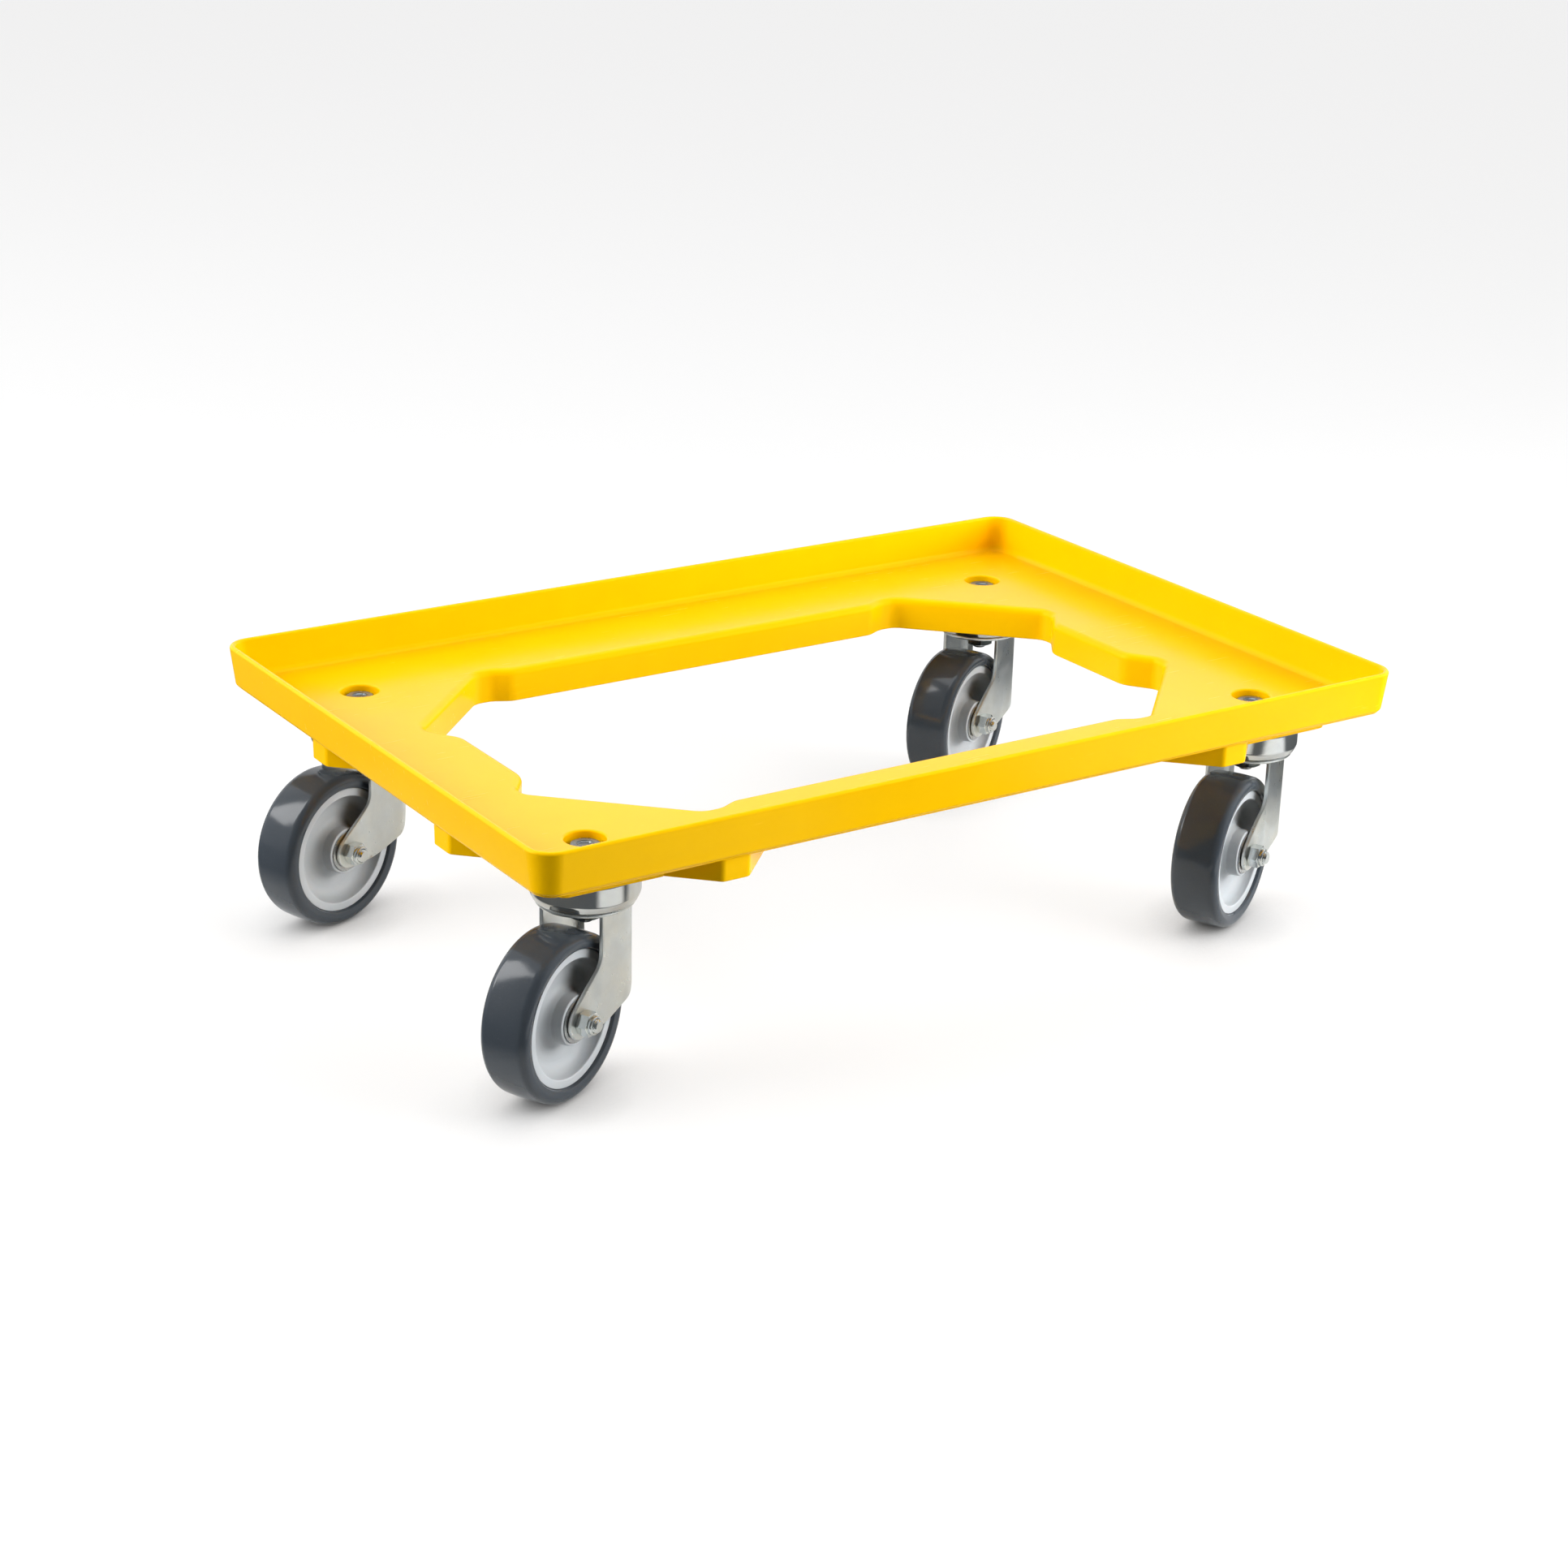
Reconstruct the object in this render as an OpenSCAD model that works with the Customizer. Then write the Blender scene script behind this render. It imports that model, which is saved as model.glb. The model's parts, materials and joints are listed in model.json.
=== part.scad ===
// Open-deck transport dolly for 600 x 400 mm crates, on four swivel castors.
// The origin is the middle of the deck, on the floor. +X runs along the long side,
// +Y across the deck and +Z up. Every castor is drawn about its own swivel axis with
// its wheel trailing along local +X and the nut end of its axle towards local +Y.

/* [Deck] */
// Outside length of the rim at its top edge
deck_length = 620; // [600:1:700]
// Outside width of the rim at its top edge
deck_width = 420; // [400:1:500]
// Outside corner radius of the rim at its top edge
corner_radius = 16; // [12:1:24]
// Height of the top of the rim above the floor
rim_top = 170; // [166:0.5:180]
// Height of the face the crate stands on
deck_top = 145.4; // [144:0.1:148]
// Thickness of the deck plate
deck_plate = 3.2; // [2.6:0.1:4]
// Height of the bottom edge of the outer skirt
skirt_bottom = 143.2; // [142.4:0.1:144]
// Thickness of the rim wall
rim_wall = 3.8; // [3:0.1:5]
// Distance the rim wall leans out between its bottom and its top
rim_lean = 2.7; // [1:0.1:4]

/* [Deck opening] */
// Half length of the opening between the middles of the short sides
opening_half_length = 227; // [220:0.5:232]
// Half width of the opening between the middles of the long sides
opening_half_width = 134; // [128:0.5:138]
// How far the opening steps out beside a gusset on a short side
short_side_step = 13; // [8:0.5:16]
// How far the opening steps out beside a gusset on a long side
long_side_step = 6; // [3:0.5:10]
// Sum of x and y along the diagonal edge of a corner gusset
gusset_edge = 305.5; // [300:0.5:312]
// Thickness of the lip that hangs down around the opening
lip_wall = 3.2; // [2.6:0.1:4]
// Height of the bottom edge of the lip
lip_bottom = 123.2; // [121:0.1:127]

/* [Castor seats] */
// Distance of a swivel axis from the middle of the deck, along its length
swivel_x = 245.4; // [242:0.1:248]
// Distance of a swivel axis from the middle of the deck, across its width
swivel_y = 144.8; // [142:0.1:147]
// Height of the face a castor is bolted against
seat_height = 128; // [127:0.1:129]
// Side of the square rib frame around a castor seat
seat_size = 70; // [66:1:72]
// Thickness of the ribs under the deck
rib = 3; // [2.4:0.1:4]
// Radius of the recess for the bolt head
recess_radius = 12; // [11.5:0.1:13]
// Height of the floor of that recess
recess_floor = 133.8; // [133:0.1:135]

/* [Wheels] */
// Radius of a wheel over its tyre
wheel_radius = 50; // [49:0.5:50]
// Width of a tyre
tyre_width = 32; // [28:0.5:32]
// Radius of the wheel core, inside the tyre
core_radius = 40.4; // [39:0.1:42]
// Width of the outer ring of the wheel core
core_width = 27; // [24:0.5:28]
// Distance of a wheel's axle behind its swivel axis
trail = 32; // [31:0.5:33]
// Rest direction of the trailing wheel: front left, front right, rear left, rear right
rest_angle = [205.7, 207.1, 200.4, 206.2];

/* [Forks] */
// Distance of the outer face of a fork leg from the middle of the wheel
leg_outer = 21.8; // [21.4:0.1:23]
// Distance of the outer face of the axle eye from the middle of the wheel
eye_outer = 20.2; // [19:0.1:21.5]
// Thickness of the fork sheet
sheet = 2.5; // [2:0.1:2.5]
// Radius of the axle eye
eye_radius = 10.8; // [10:0.1:12]
// Radius of the crown of a fork
crown_radius = 28.5; // [27.5:0.1:29]
// Radius of the cup that covers the swivel bearing
cup_radius = 31.7; // [31:0.1:32.5]

/* [Hidden] */
CORNERS = ["front_left", "front_right", "rear_left", "rear_right"];
CASTOR_PIECES = [
    "swivel_cup", "kingpin", "bearing_balls", "retainer_ring",
    "fork", "axle_bolt", "axle_nut", "axle_sleeve",
    "wheel_core", "tyre", "roller_cage", "wheel_rollers", "hub_washers"
];

// Direction of each corner from the middle of the deck, in the order of CORNERS
CORNER_SIDES = [[-1, -1], [1, -1], [-1, 1], [1, 1]];

$fn = 96;
ARC_STEPS = 6;
JOINT = 0.01;

yellow = "#fbd100";
zinc = "#c4c7c6";
steel = "#a9acae";
tyre_grey = "#4a4f55";
core_grey = "#aeb4b8";
cage_white = "#e6e3d8";

// Deck
deck_under = deck_top - deck_plate;
top_bead = rim_wall / 2;
skirt_round = 2.4;
frame_diagonal = 394;
frame_long_diagonal = 28;
frame_short_diagonal = 229;
frame_long_face = deck_width / 2 - 6.6;
frame_short_face = deck_length / 2 - 6.9;
wall_bend = 5;
ledge_rib_bottom = 135;
ledge_rib_gap = 27;
seat_boss_radius = 17;

// Swivel bearing, by height
cup_plate_under = seat_height - 2.5;
cup_wall = 2;
cup_turn_in = 112.8;
cup_bottom = 111.4;
crown_top = 110.9;
crown_thickness = 2.7;
crown_under = crown_top - crown_thickness;
dome_radius = 20;
dome_top = 119.9;
dome_under = dome_top - sheet;
kingpin_radius = 8;
kingpin_head_radius = 10.5;
kingpin_head = 1.6;
kingpin_foot_radius = 11;
kingpin_foot = 107.8;
retainer_radius = 17;
retainer_under = 109.4;
retainer_top = 111.8;
ball_radius = 2.65;
upper_ball_circle = 14.5;
upper_ball_count = 15;
lower_ball_circle = 13;
lower_ball_count = 13;
running_gap = 0.05;

// Fasteners
mount_bolt_radius = 5;
mount_bolt_hole = 5.5;
mount_head_across = 17;
mount_head_height = 6.4;
mount_washer_height = 2;
mount_washer_radius = 10.5;
mount_bolt_length = 40;
mount_nut_height = 9.5;
thread_gap = 0.02;
axle_radius = 4;
axle_head_across = 13;
axle_head_height = 5.3;
axle_nut_height = 9.5;
axle_end = 31.8;

// Wheel hub
hub_width = 32.8;
hub_radius = 15;
hub_bore = 9.9;
sleeve_radius = 6.2;
roller_radius = 1.8;
roller_circle = 8.05;
roller_count = 8;
roller_length = 26;
cage_length = 30;
cage_radius = 9.6;
hub_washer_radius = 13;
hub_washer_height = 0.5;

eye_inner = eye_outer - sheet;
leg_inner = leg_outer - sheet;

// ---------------------------------------------------------------- outline helpers

// Unit vector along v
function unit(v) = v / norm(v);

// The vector v turned a quarter turn to its right
function right_of(v) = [v[1], -v[0]];

// Item i of a closed list
function cyclic(list, i) = list[(i + len(list)) % len(list)];

// A closed outline, run counter-clockwise, moved outwards by distance d
function grown(points, d) = [
    for (i = [0 : len(points) - 1])
        let (
            before = right_of(unit(points[i] - cyclic(points, i - 1))),
            after = right_of(unit(cyclic(points, i + 1) - points[i]))
        )
        points[i] + d * (before + after) / (1 + before * after)
];

// The arc that rounds corner b between its neighbours a and c with radius r
function corner_arc(a, b, c, r) =
    let (
        to_a = unit(a - b),
        to_c = unit(c - b),
        half_turn = acos(to_a * to_c) / 2,
        centre = b + unit(to_a + to_c) * r / sin(half_turn),
        start = b + to_a * r / tan(half_turn) - centre,
        finish = b + to_c * r / tan(half_turn) - centre,
        from = atan2(start[1], start[0]),
        sweep = (atan2(finish[1], finish[0]) - from + 540) % 360 - 180
    )
    [for (k = [0 : ARC_STEPS])
        centre + r * [cos(from + sweep * k / ARC_STEPS), sin(from + sweep * k / ARC_STEPS)]];

// A closed outline with every corner rounded to its own radius
function rounded(points, radii) = [
    for (i = [0 : len(points) - 1])
        each corner_arc(cyclic(points, i - 1), points[i], cyclic(points, i + 1), radii[i])
];

// One side of a wall along an open path, moved by distance d to its right, with bends of radius r
function wall_side(path, d, r) =
    let (
        last = len(path) - 1,
        side = [
            for (i = [0 : last])
                let (
                    before = right_of(unit(path[max(i, 1)] - path[max(i, 1) - 1])),
                    after = right_of(unit(path[min(i + 1, last)] - path[min(i + 1, last) - 1]))
                )
                path[i] + d * (before + after) / (1 + before * after)
        ]
    )
    [
        side[0],
        for (i = [1 : last - 1]) each corner_arc(side[i - 1], side[i], side[i + 1], r),
        side[last]
    ];

// The outline of a wall that follows an open path, with its outer bends to the left
function wall_outline(path, thickness, outer_bend) = concat(
    wall_side(path, thickness / 2, outer_bend - thickness),
    reversed(wall_side(path, -thickness / 2, outer_bend))
);

// Points on part of a circle about centre
function arc(centre, r, from, to) =
    [for (k = [0 : ARC_STEPS])
        let (angle = from + (to - from) * k / ARC_STEPS)
        centre + r * [cos(angle), sin(angle)]];

// Points mirrored about the Y axis or the X axis, in an order that keeps the loop going
function mirror_x(points) = [for (i = [len(points) - 1 : -1 : 0]) [-points[i][0], points[i][1]]];
function mirror_y(points) = [for (i = [len(points) - 1 : -1 : 0]) [points[i][0], -points[i][1]]];
function reversed(list) = [for (i = [len(list) - 1 : -1 : 0]) list[i]];

// ---------------------------------------------------------------- deck outlines

// A quarter of the deck opening, from the short side round to the long side
step_x = opening_half_length + short_side_step;
step_y = opening_half_width + long_side_step;
opening_quarter = [
    [opening_half_length, 38],
    [step_x, 56],
    [step_x, gusset_edge - step_x],
    [gusset_edge - step_y, step_y],
    [154, step_y],
    [142, opening_half_width]
];
// Corner radii of that quarter, for the edge of the opening itself
quarter_radii = [12, 7, 5, 6, 8, 10];

opening_points = concat(
    opening_quarter,
    mirror_x(opening_quarter),
    mirror_y(mirror_x(opening_quarter)),
    mirror_y(opening_quarter)
);
opening_radii = concat(
    quarter_radii, reversed(quarter_radii), quarter_radii, reversed(quarter_radii)
);

// The opening, moved outwards by distance d
module opening_shape(d = 0) {
    polygon(rounded(grown(opening_points, d), opening_radii));
}

// A rounded rectangle with true arcs at its corners
module rounded_rectangle(length, width, r) {
    square([length - 2 * r, width], center = true);
    square([length, width - 2 * r], center = true);
    for (x = [-1, 1]) for (y = [-1, 1])
        translate([x * (length / 2 - r), y * (width / 2 - r)]) circle(r);
}

// ---------------------------------------------------------------- deck frame

// Cross-section of the rim, measured outwards from the centre of its corner radius
module rim_section() {
    outer_top = corner_radius;
    outer_low = corner_radius - rim_lean;
    inner_low = outer_low - rim_wall + 0.3;
    bead = [outer_top - top_bead, rim_top - top_bead];
    turn = [outer_low - skirt_round, skirt_bottom + skirt_round];
    polygon(concat(
        arc(turn, skirt_round, -90, 0),
        arc(bead, top_bead, 0, 180),
        [[inner_low, deck_top - 1], [inner_low, skirt_bottom]]
    ));
}

// The rim swept around the deck: four straight walls and four turned corners
module rim() {
    straight_x = deck_length / 2 - corner_radius;
    straight_y = deck_width / 2 - corner_radius;
    for (side = [0, 180]) rotate(side) {
        translate([0, straight_y, 0]) rotate([90, 0, 90])
            linear_extrude(2 * straight_x, center = true) rim_section();
        translate([straight_x, 0, 0]) rotate([90, 0, 0])
            linear_extrude(2 * straight_y, center = true) rim_section();
    }
    for (side = CORNER_SIDES)
        translate([side[0] * straight_x, side[1] * straight_y, 0])
            rotate(atan2(side[1], side[0]) - 45)
                rotate_extrude(angle = 90) rim_section();
}

// The flat plate between the rim and the opening
module deck_plate_body() {
    edge = 2 * (rim_lean + rim_wall / 2);
    translate([0, 0, deck_under]) linear_extrude(deck_plate) difference() {
        rounded_rectangle(deck_length - edge, deck_width - edge, corner_radius - edge / 2);
        opening_shape();
    }
}

// The lip that hangs down around the opening
module opening_lip() {
    translate([0, 0, lip_bottom]) linear_extrude(deck_top - lip_bottom - JOINT) difference() {
        opening_shape(lip_wall);
        opening_shape();
    }
}

// One straight rib under the deck, between two points
module rib_between(a, b, bottom, thickness = rib) {
    run = b - a;
    translate([a[0], a[1], bottom]) rotate(atan2(run[1], run[0]))
        translate([0, -thickness / 2, 0]) cube([norm(run), thickness, deck_under - bottom + 1]);
}

// The walls under one corner: the long diagonal through the castor seat and its returns
module corner_walls() {
    inset = rib / 2;
    long_face = frame_long_face - inset;
    short_face = frame_short_face - inset;
    diagonal = frame_diagonal - rib * sqrt(2) / 2;
    lip_y = opening_half_width + lip_wall / 2;
    lip_x = opening_half_length + lip_wall / 2;
    path = [
        [lip_y - frame_long_diagonal, lip_y],
        [long_face - frame_long_diagonal, long_face],
        [diagonal - long_face, long_face],
        [short_face, diagonal - short_face],
        [short_face, short_face - frame_short_diagonal],
        [lip_x, max(0, lip_x - frame_short_diagonal)]
    ];
    translate([0, 0, seat_height]) linear_extrude(deck_under - seat_height + 1)
        polygon(wall_outline(path, rib, wall_bend));
}

// The boss, the square frame and the cross ribs that carry one castor
module castor_seat() {
    height = deck_under - seat_height + 1;
    translate([0, 0, seat_height]) {
        cylinder(height, r = seat_boss_radius);
        linear_extrude(height) difference() {
            rounded_rectangle(seat_size, seat_size, 6);
            rounded_rectangle(seat_size - 2 * rib, seat_size - 2 * rib, 6 - rib);
        }
        for (turn = [0, 90]) rotate(turn) translate([-seat_size / 2 + rib / 2, -rib / 2, 0])
            cube([seat_size - rib, rib, height]);
    }
}

// Cross ribs under the ledges between the corners
module ledge_ribs() {
    reach_y = deck_width / 2 - ledge_rib_gap;
    reach_x = deck_length / 2 - ledge_rib_gap;
    lip_y = opening_half_width + lip_wall / 2;
    lip_x = opening_half_length + lip_wall / 2;
    for (side = [-1, 1]) {
        for (x = [-70, 0, 70]) rib_between([x, side * lip_y], [x, side * reach_y], ledge_rib_bottom);
        rib_between([side * lip_x, 0], [side * reach_x, 0], ledge_rib_bottom);
    }
}

module deck_frame() {
    color(yellow) difference() {
        union() {
            rim();
            deck_plate_body();
            opening_lip();
            ledge_ribs();
            for (side = CORNER_SIDES) {
                mirror([side[0] < 0 ? 1 : 0, 0, 0]) mirror([0, side[1] < 0 ? 1 : 0, 0]) corner_walls();
                translate([side[0] * swivel_x, side[1] * swivel_y, 0]) castor_seat();
            }
        }
        for (side = CORNER_SIDES) translate([side[0] * swivel_x, side[1] * swivel_y, 0]) {
            translate([0, 0, recess_floor]) cylinder(deck_top, r = recess_radius);
            translate([0, 0, seat_height - 1]) cylinder(deck_top, r = mount_bolt_hole);
        }
    }
}

// ---------------------------------------------------------------- placing

// Draws its children at every swivel axis, without the rest angle
module at_each_seat() {
    for (side = CORNER_SIDES)
        translate([side[0] * swivel_x, side[1] * swivel_y, 0]) children();
}

// Draws its children at one corner, turned to that castor's rest angle
module at_corner(i) {
    translate([CORNER_SIDES[i][0] * swivel_x, CORNER_SIDES[i][1] * swivel_y, 0])
        rotate(rest_angle[i]) children();
}

// Moves its children to the axle and lays their +Z along the axle, nut end up
module on_axle() {
    translate([trail, 0, wheel_radius]) rotate([-90, 0, 0]) children();
}

// A hexagonal prism, given the distance across its flats
module hexagon(across, height) {
    cylinder(height, d = across / cos(30), $fn = 6);
}

// ---------------------------------------------------------------- deck fasteners

head_bottom = recess_floor + mount_washer_height;

module mounting_bolts() {
    color(zinc) at_each_seat() {
        translate([0, 0, head_bottom]) hexagon(mount_head_across, mount_head_height);
        translate([0, 0, head_bottom - mount_bolt_length])
            cylinder(mount_bolt_length + JOINT, r = mount_bolt_radius);
    }
}

module mounting_washers() {
    color(zinc) at_each_seat() translate([0, 0, recess_floor]) difference() {
        cylinder(mount_washer_height, r = mount_washer_radius);
        translate([0, 0, -1]) cylinder(mount_washer_height + 2, r = mount_bolt_radius + 0.25);
    }
}

module mounting_nuts() {
    color(zinc) at_each_seat() translate([0, 0, kingpin_foot - mount_nut_height]) difference() {
        hexagon(mount_head_across, mount_nut_height);
        translate([0, 0, -1]) cylinder(mount_nut_height + 2, r = mount_bolt_radius + thread_gap);
    }
}

// ---------------------------------------------------------------- swivel bearing

module swivel_cup() {
    inner = cup_radius - cup_wall;
    color(zinc) rotate_extrude() polygon(concat(
        [[kingpin_radius + running_gap, cup_plate_under], [inner, cup_plate_under]],
        [[inner, cup_bottom]],
        arc([cup_radius - 1.4, cup_turn_in], 1.4, -90, 0),
        arc([cup_radius - 1.5, seat_height - 1.5], 1.5, 0, 90),
        [[kingpin_head_radius + running_gap, seat_height]],
        [[kingpin_head_radius + running_gap, seat_height - kingpin_head]],
        [[kingpin_radius + running_gap, seat_height - kingpin_head]]
    ));
}

module kingpin() {
    bore = mount_bolt_radius + 0.25;
    color(steel) rotate_extrude() polygon([
        [bore, kingpin_foot],
        [kingpin_foot_radius, kingpin_foot],
        [kingpin_foot_radius, retainer_under],
        [kingpin_radius, retainer_under],
        [kingpin_radius, seat_height - kingpin_head],
        [kingpin_head_radius, seat_height - kingpin_head],
        [kingpin_head_radius, seat_height],
        [bore, seat_height]
    ]);
}

module retainer_ring() {
    color(steel) translate([0, 0, retainer_under]) difference() {
        cylinder(retainer_top - retainer_under, r = retainer_radius);
        translate([0, 0, -1]) cylinder(retainer_top, r = kingpin_radius + running_gap);
    }
}

// One row of bearing balls
module ball_row(count, circle_radius, height) {
    for (i = [0 : count - 1]) rotate(360 * i / count)
        translate([circle_radius, 0, height]) sphere(ball_radius);
}

module bearing_balls() {
    color(steel) {
        ball_row(upper_ball_count, upper_ball_circle, (cup_plate_under + dome_top) / 2);
        ball_row(lower_ball_count, lower_ball_circle, (dome_under + retainer_top) / 2);
    }
}

// ---------------------------------------------------------------- fork

// Plan of the leg on the nut side: flat beside the wheel, stepped in at the axle eye
// and curled in along its leading edge
module leg_plan() {
    curl_radius = 19.4;
    curl_angle = 36;
    curl_start = -8.6;
    centre = [curl_start, leg_outer - curl_radius];
    polygon(concat(
        [[46, eye_outer], [25, eye_outer], [16, leg_outer]],
        arc(centre, curl_radius, 90, 90 + curl_angle),
        reversed(arc(centre, curl_radius - sheet, 90, 90 + curl_angle)),
        [[15.5, leg_inner], [24.5, eye_inner], [46, eye_inner]]
    ));
}

// Side view of a leg, with x behind the swivel axis and y above the floor
module leg_side() {
    translate([trail, wheel_radius]) circle(eye_radius);
    polygon([
        [-22, crown_top - 1], [-22, 62], [-20.6, 56.5], [-17, 52], [-11, 48.4], [-4, 45.8],
        [trail - 2.5, wheel_radius - eye_radius + 0.3],
        [trail + 5, wheel_radius - 5], [trail + 7.8, wheel_radius + 7.4],
        [31, 65], [22, 73.2], [17.5, 78.6], [15.3, 84], [14.5, 90], [14.5, crown_top - 1]
    ]);
}

// One leg of the fork, bored for the axle bolt
module leg() {
    difference() {
        intersection() {
            translate([0, 0, 30]) linear_extrude(crown_top - 30 - 1) leg_plan();
            translate([0, leg_outer + 5, 0]) rotate([90, 0, 0]) linear_extrude(leg_outer) leg_side();
        }
        on_axle() cylinder(leg_outer + 5, r = axle_radius + 0.25);
    }
}

module fork() {
    color(zinc) {
        leg();
        mirror([0, 1, 0]) leg();
        rotate_extrude() polygon(concat(
            arc([crown_radius - 1.3, crown_under + 1.3], 1.3, -90, 0),
            arc([crown_radius - 0.8, crown_top - 0.8], 0.8, 0, 90),
            [[dome_radius, crown_top], [dome_radius, dome_top - 2]],
            arc([dome_radius - 2, dome_top - 2], 2, 10, 90),
            [
                [kingpin_radius + 2 * running_gap, dome_top],
                [kingpin_radius + 2 * running_gap, dome_under],
                [dome_radius - sheet, dome_under],
                [dome_radius - sheet, crown_under]
            ]
        ));
    }
}

// ---------------------------------------------------------------- axle

module axle_bolt() {
    color(zinc) on_axle() {
        translate([0, 0, -eye_outer - axle_head_height]) hexagon(axle_head_across, axle_head_height);
        translate([0, 0, -eye_outer - JOINT]) cylinder(eye_outer + axle_end, r = axle_radius);
    }
}

// The self-locking nut, with its round collar at the outer end
module axle_nut() {
    collar = 2.4;
    color(zinc) on_axle() translate([0, 0, eye_outer]) difference() {
        union() {
            hexagon(axle_head_across, axle_nut_height - collar);
            cylinder(axle_nut_height, r = 5.6);
        }
        translate([0, 0, -1]) cylinder(axle_nut_height + 2, r = axle_radius + thread_gap);
    }
}

module axle_sleeve() {
    color(steel) on_axle() translate([0, 0, -eye_inner]) difference() {
        cylinder(2 * eye_inner, r = sleeve_radius);
        translate([0, 0, -1]) cylinder(2 * eye_inner + 2, r = axle_radius + 0.25);
    }
}

// ---------------------------------------------------------------- wheel

// Draws a profile given as radius and distance from the mid-plane, and its mirror image
module turned_both_sides(points) {
    mirrored = [for (i = [len(points) - 1 : -1 : 0]) [points[i][0], -points[i][1]]];
    on_axle() rotate_extrude() polygon(concat(points, mirrored));
}

module wheel_core() {
    ring_inner = core_radius - 5.2;
    color(core_grey) turned_both_sides(concat(
        [[core_radius - running_gap, 0.001], [core_radius - running_gap, core_width / 2 - 0.6]],
        [[core_radius - 0.6, core_width / 2], [ring_inner + 0.6, core_width / 2]],
        [[ring_inner, core_width / 2 - 0.6], [ring_inner - 0.9, 8.6]],
        reversed(arc([ring_inner - 4.9, 9], 4, -90, -6)),
        [[hub_radius + 3, 6], [hub_radius + 0.6, 8]],
        [[hub_radius, hub_width / 2 - 0.6], [hub_radius - 0.6, hub_width / 2]],
        [[hub_bore, hub_width / 2], [hub_bore, 0.001]]
    ));
}

module tyre() {
    side = tyre_width / 2;
    shoulder = 5.5;
    color(tyre_grey) turned_both_sides(concat(
        [[core_radius, 0.001], [core_radius, core_width / 2]],
        [[core_radius + 1.6, side - 0.9], [core_radius + 3.4, side]],
        reversed(arc([wheel_radius - shoulder - 0.4, side - shoulder], shoulder, 0, 90)),
        [[wheel_radius, 4], [wheel_radius, 0.001]]
    ));
}

module roller_cage() {
    color(cage_white) on_axle() difference() {
        translate([0, 0, -cage_length / 2]) cylinder(cage_length, r = cage_radius);
        translate([0, 0, -cage_length]) cylinder(2 * cage_length, r = sleeve_radius + running_gap);
        rollers(roller_radius + 0.15, roller_length + 0.6);
    }
}

// The ring of needle rollers, as solids of the given radius and length
module rollers(radius, length) {
    for (i = [0 : roller_count - 1]) rotate(360 * i / roller_count)
        translate([roller_circle, 0, -length / 2]) cylinder(length, r = radius, $fn = 32);
}

module wheel_rollers() {
    color(steel) on_axle() rollers(roller_radius, roller_length);
}

module hub_washers() {
    gap = eye_inner - hub_width / 2 - hub_washer_height;
    color(steel) on_axle() for (side = [-1, 1])
        translate([0, 0, side * (hub_width / 2 + gap / 2 + hub_washer_height / 2)]) difference() {
            cylinder(hub_washer_height, r = hub_washer_radius, center = true);
            cylinder(1, r = sleeve_radius + 2 * running_gap, center = true);
        }
}

// ---------------------------------------------------------------- castors

// Draws one named piece of a castor about its own swivel axis
module castor_piece(piece) {
    if (piece == "swivel_cup") swivel_cup();
    if (piece == "kingpin") kingpin();
    if (piece == "bearing_balls") bearing_balls();
    if (piece == "retainer_ring") retainer_ring();
    if (piece == "fork") fork();
    if (piece == "axle_bolt") axle_bolt();
    if (piece == "axle_nut") axle_nut();
    if (piece == "axle_sleeve") axle_sleeve();
    if (piece == "wheel_core") wheel_core();
    if (piece == "tyre") tyre();
    if (piece == "roller_cage") roller_cage();
    if (piece == "wheel_rollers") wheel_rollers();
    if (piece == "hub_washers") hub_washers();
}

deck_frame();
mounting_bolts();
mounting_washers();
mounting_nuts();
for (i = [0 : len(CORNERS) - 1]) for (piece = CASTOR_PIECES)
    at_corner(i) castor_piece(piece);
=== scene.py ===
"""The looks of an open-deck transport dolly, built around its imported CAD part.

Shapes are written in millimetres, as in the part, and become metres in Shape.piece().
A castor is drawn about its own swivel axis, with the wheel trailing along local +X.
"""
import json
import math

import bmesh
import bpy
from mathutils import Matrix, Vector
from mathutils.geometry import delaunay_2d_cdt


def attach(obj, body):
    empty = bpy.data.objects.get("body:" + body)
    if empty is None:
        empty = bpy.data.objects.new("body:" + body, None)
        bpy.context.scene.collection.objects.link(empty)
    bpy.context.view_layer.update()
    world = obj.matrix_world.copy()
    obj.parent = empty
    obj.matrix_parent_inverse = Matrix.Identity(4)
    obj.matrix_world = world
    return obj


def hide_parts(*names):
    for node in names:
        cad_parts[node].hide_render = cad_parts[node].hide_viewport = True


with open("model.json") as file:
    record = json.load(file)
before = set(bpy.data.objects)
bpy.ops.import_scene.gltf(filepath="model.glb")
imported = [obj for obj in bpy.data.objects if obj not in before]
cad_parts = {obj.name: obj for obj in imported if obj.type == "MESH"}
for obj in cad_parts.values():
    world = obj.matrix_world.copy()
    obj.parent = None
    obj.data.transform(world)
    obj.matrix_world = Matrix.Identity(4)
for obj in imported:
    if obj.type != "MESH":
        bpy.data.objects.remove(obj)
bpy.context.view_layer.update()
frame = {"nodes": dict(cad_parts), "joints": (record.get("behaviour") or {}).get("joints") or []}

MM = 0.001
CORNERS = ("front_left", "front_right", "rear_left", "rear_right")
SIDES = {"front_left": (-1, -1), "front_right": (1, -1), "rear_left": (-1, 1), "rear_right": (1, 1)}


# ------------------------------------------------------------------ outlines

def arc(centre, radius, start, end, steps=6):
    """Points on a circle, with angles in degrees."""
    points = []
    for i in range(steps + 1):
        angle = math.radians(start + (end - start) * i / steps)
        points.append((centre[0] + radius * math.cos(angle), centre[1] + radius * math.sin(angle)))
    return points


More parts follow.
